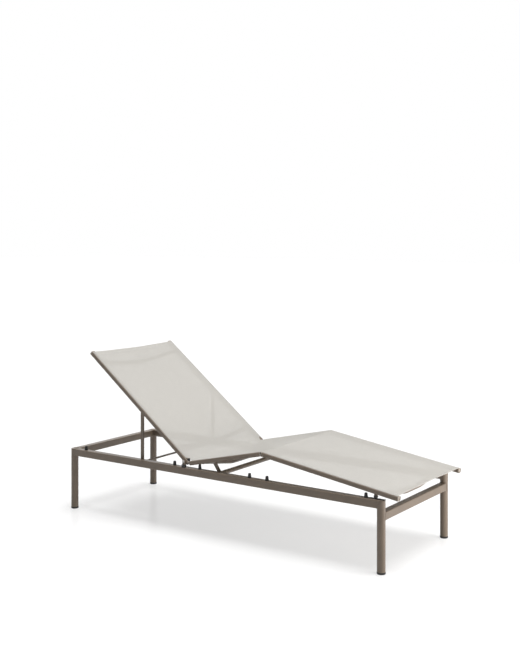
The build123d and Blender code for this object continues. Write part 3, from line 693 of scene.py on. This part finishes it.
slub_tone.inputs["To Max"].default_value = 1.03
yarn_colour = weave.nodes.new("ShaderNodeVectorMath")
yarn_colour.operation = "SCALE"
weave.links.new(cloth_uv.outputs["UV"], slub.inputs["Vector"])
weave.links.new(cross.outputs[0], yarn_tone.inputs["Fac"])
weave.links.new(slub.outputs["Fac"], slub_tone.inputs["Value"])
weave.links.new(yarn_tone.outputs["Color"], yarn_colour.inputs[0])
weave.links.new(slub_tone.outputs["Result"], yarn_colour.inputs["Scale"])
weave.links.new(yarn_colour.outputs["Vector"], cloth_surface.inputs["Base Color"])
add_bump(mesh_cloth, cross.outputs[0], strength=0.35, distance=0.0006)

cloth_lift = 0.0138           # underside of the cloth above the line of the hinges
cloth_sag = 0.0042
cloth_flat_edge = 0.3165
cloth_turned = [(0.0001, 0.3180), (0.0007, 0.3191), (0.0030, 0.3195)]   # down into the groove, and across
cloth_strips = 44
hem_thick = 0.0016
hem_length = 0.0235
cloth_share = 0.55            # thickness of a single layer as a share of the hem's
head_bow = 0.0034
foot_bow = 0.0075
bow_fades = 0.1               # how far from its end the bow of a hem runs out
hem_ripple = 0.22             # share by which the bow comes and goes across the bed
hem_waves = 21                # in radians to the metre
hem_first_wave = 0.6
crease_edge = 0.3008          # half width of the cloth at the crease, where it runs free between the rails
crease_free = 0.014
crease_full = 0.027
crease_sag = 0.12             # how far from the crease the cloth has its full sag
crease_soft = 0.045           # how far from the crease the middle of the cloth starts to curve
crease_half_turn = math.radians(25.2)
crease_radius = crease_soft / math.tan(crease_half_turn)
crease_dense = 1.35           # above 1, the rows of the cloth crowd towards the crease


def cloth_column(column):
    """How far a column of the cloth lies from the middle of the bed, and how far it turns down."""
    turned = len(cloth_turned)
    if column < turned:
        drop, edge = cloth_turned[turned - 1 - column]
        return -edge, drop
    if column > turned + cloth_strips:
        drop, edge = cloth_turned[column - turned - cloth_strips - 1]
        return edge, drop
    return cloth_flat_edge * (2 * (column - turned) / cloth_strips - 1), 0.0


def smooth(share):
    """Rises evenly from 0 to 1."""
    share = min(1, max(0, share))
    return share * share * (3 - 2 * share)


def cloth_arch(y):
    """1 in the middle of the cloth and 0 at the rails."""
    return max(0, 1 - (y / cloth_flat_edge) ** 2)


def hem_draw(y, bow, from_end):
    """How far a hem that is held only at the rails is drawn inwards."""
    ripple = 1 + hem_ripple * math.sin(y * hem_waves + hem_first_wave)
    return bow * ripple * cloth_arch(y) * max(0, 1 - from_end / bow_fades)


def crease_round(far):
    """How far on and how far up the middle of a cloth moves where it curves into the crease."""
    if far >= crease_soft:
        return 0, 0
    turn = (crease_soft - far) * crease_radius * math.sin(crease_half_turn) / crease_soft
    return crease_soft - far - turn, crease_radius - math.sqrt(crease_radius ** 2 - turn ** 2)


def straight_run(section, first, last, so_far, rows, dense=1.0):
    """Stations along the rails of a section, from first to last, closer together at the start."""
    shares = [(k / rows) ** dense for k in range(rows + 1)]
    return [(section.pivot + section.on * (first + (last - first) * share), section.on, section.up,
             so_far + abs(last - first) * share) for share in shares]


def make_cloth(name, stations, crease_end=False, bow=0.0):
    """A taut cloth through stations along the bed, each a place, the way on, the way up and a length so far.
    It may start at the crease, and with a bow it ends in a hem that is drawn inwards by that length."""
    rows = len(stations) - 1
    columns = cloth_strips + 2 * len(cloth_turned)
    total = stations[-1][3]
    bpy.ops.mesh.primitive_grid_add(x_subdivisions=columns, y_subdivisions=rows, size=2, location=(0, 0, 0))
    cloth = bpy.context.object
    cloth.name = name
    uv = cloth.data.uv_layers.active.data
    for loop in cloth.data.loops:
        point = cloth.data.vertices[loop.vertex_index].co
        edge, drop = cloth_column(round((point.x + 1) / 2 * columns))
        uv[loop.index].uv = (edge, stations[round((point.y + 1) / 2 * rows)][3])
    thickness = cloth.vertex_groups.new(name="thickness")
    for point in cloth.data.vertices:
        edge, drop = cloth_column(round((point.co.x + 1) / 2 * columns))
        place, on, up, far = stations[round((point.co.y + 1) / 2 * rows)]
        arch = cloth_arch(edge)
        sag = cloth_sag * arch
        shift = -hem_draw(edge, bow, total - far)
        if crease_end:
            near = 1 - smooth((far - crease_free) / (crease_full - crease_free))
            on_by, up_by = crease_round(far)
            edge *= 1 - near * (1 - crease_edge / cloth_turned[-1][1])
            drop *= 1 - near
            sag = sag * smooth(far / crease_sag) - up_by * arch
            shift += on_by * arch
        thickness.add([point.index], 1.0 if bow and total - far < hem_length else cloth_share, "REPLACE")
        point.co = place + up * (cloth_lift - sag - drop) + on * shift + Vector((0, edge, 0))
    cloth.data.update()
    if cloth.data.polygons[len(cloth.data.polygons) // 2].normal.dot(stations[rows // 2][2]) < 0:
        bpy.ops.object.mode_set(mode="EDIT")
        bpy.ops.mesh.select_all(action="SELECT")
        bpy.ops.mesh.flip_normals()
        bpy.ops.object.mode_set(mode="OBJECT")
    thick = cloth.modifiers.new("cloth", "SOLIDIFY")
    thick.thickness = hem_thick
    thick.offset = 1
    thick.vertex_group = "thickness"
    bpy.ops.object.modifier_apply(modifier=thick.name)
    bpy.ops.object.shade_smooth_by_angle(angle=math.radians(50))
    cloth.data.materials.append(mesh_cloth)
    cloth.select_set(False)
    return cloth


backrest_line = bed_point(backrest, 0, cloth_lift, 0)
seat_line = bed_point(seat, 0, cloth_lift, 0)
crease = intersect_line_line(backrest_line, backrest_line + backrest.on, seat_line, seat_line + seat.on)[0]
backrest_start = (crease - backrest_line).dot(backrest.on)
seat_start = (crease - seat_line).dot(seat.on)
head_hem = 0.799
foot_hem = 0.719
seat_split = 0.170            # where the seat cloth ends and the leg rest cloth starts, on the seat rails
knee_start = 0.388
knee_steps = 5

backrest_run = straight_run(backrest, backrest_start, head_hem, 0, rows=90, dense=crease_dense)
backrest_cloth = make_cloth("backrest_cloth", backrest_run, crease_end=True, bow=head_bow)
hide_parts("backrest_sling")
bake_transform(backrest_cloth)

seat_run = straight_run(seat, seat_start, seat_split, 0, rows=32, dense=crease_dense)
seat_cloth = make_cloth("seat_cloth", seat_run, crease_end=True)
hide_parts("seat_sling")
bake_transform(seat_cloth)

knee = leg_rest.pivot
knee_turn = math.radians(seat_tilt - leg_rest_tilt)
knee_run = straight_run(seat, seat_split, knee_start, seat_run[-1][3], rows=18)
for k in range(1, knee_steps + 1):
    turn = Matrix.Rotation(knee_turn * k / knee_steps, 3, "Y")
    knee_run.append((knee, turn @ seat.on, turn @ seat.up,
                     knee_run[-1][3] + cloth_lift * knee_turn / knee_steps))
knee_run += straight_run(leg_rest, 0, foot_hem, knee_run[-1][3], rows=60)[1:]
leg_rest_cloth = make_cloth("leg_rest_cloth", knee_run, bow=foot_bow)
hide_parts("leg_rest_sling")
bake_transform(leg_rest_cloth)


# Stitching of the hems at the head and the foot: two rows of lock stitch in a thread paler than the cloth.
# Each hem is folded and sewn flat before the cloth is drawn into the grooves, so the rows follow its bow.
thread = moulded("hem_thread", (0.70, 0.68, 0.64), 0.6)
stitch_rows = (0.0035, 0.0205)
stitch_half_size = (0.0005, 0.0019, 0.0004)
stitch_pitch = 0.0051
stitch_count = 123


def hem_stitches(name, section, edge, bow, body):
    """Two rows of stitches beside the end of a cloth, at distance edge along its rails."""
    bpy.ops.mesh.primitive_uv_sphere_add(segments=6, ring_count=4, radius=1, location=(0, 0, 0))
    stitch = bpy.context.object
    first_stitch = (0, -stitch_pitch * (stitch_count - 1) / 2, 0)
    stitch.data.transform(Matrix.Translation(first_stitch) @ Matrix.Diagonal((*stitch_half_size, 1)))
    many = stitch.modifiers.new("row", "ARRAY")
    many.count = stitch_count
    many.use_relative_offset = False
    many.use_constant_offset = True
    many.constant_offset_displace = (0, stitch_pitch, 0)
    bpy.ops.object.modifier_apply(modifier=many.name)
    rows = with_copies(stitch, len(stitch_rows))
    for row, from_end in zip(rows, stitch_rows):
        for point in row.data.vertices:
            across, y, above = point.co
            lift = cloth_lift + hem_thick - cloth_sag * cloth_arch(y) + above
            point.co = bed_point(section, edge - from_end - hem_draw(y, bow, from_end) + across, lift, y)
    sewn = joined(rows, name)
    face_outwards()
    bpy.ops.object.shade_smooth()
    sewn.data.materials.append(thread)
    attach(sewn, body)
    sewn.select_set(False)


hem_stitches("backrest_head_stitches", backrest, head_hem, head_bow, "backrest")
hem_stitches("leg_rest_foot_stitches", leg_rest, foot_hem, foot_bow, "leg_section")
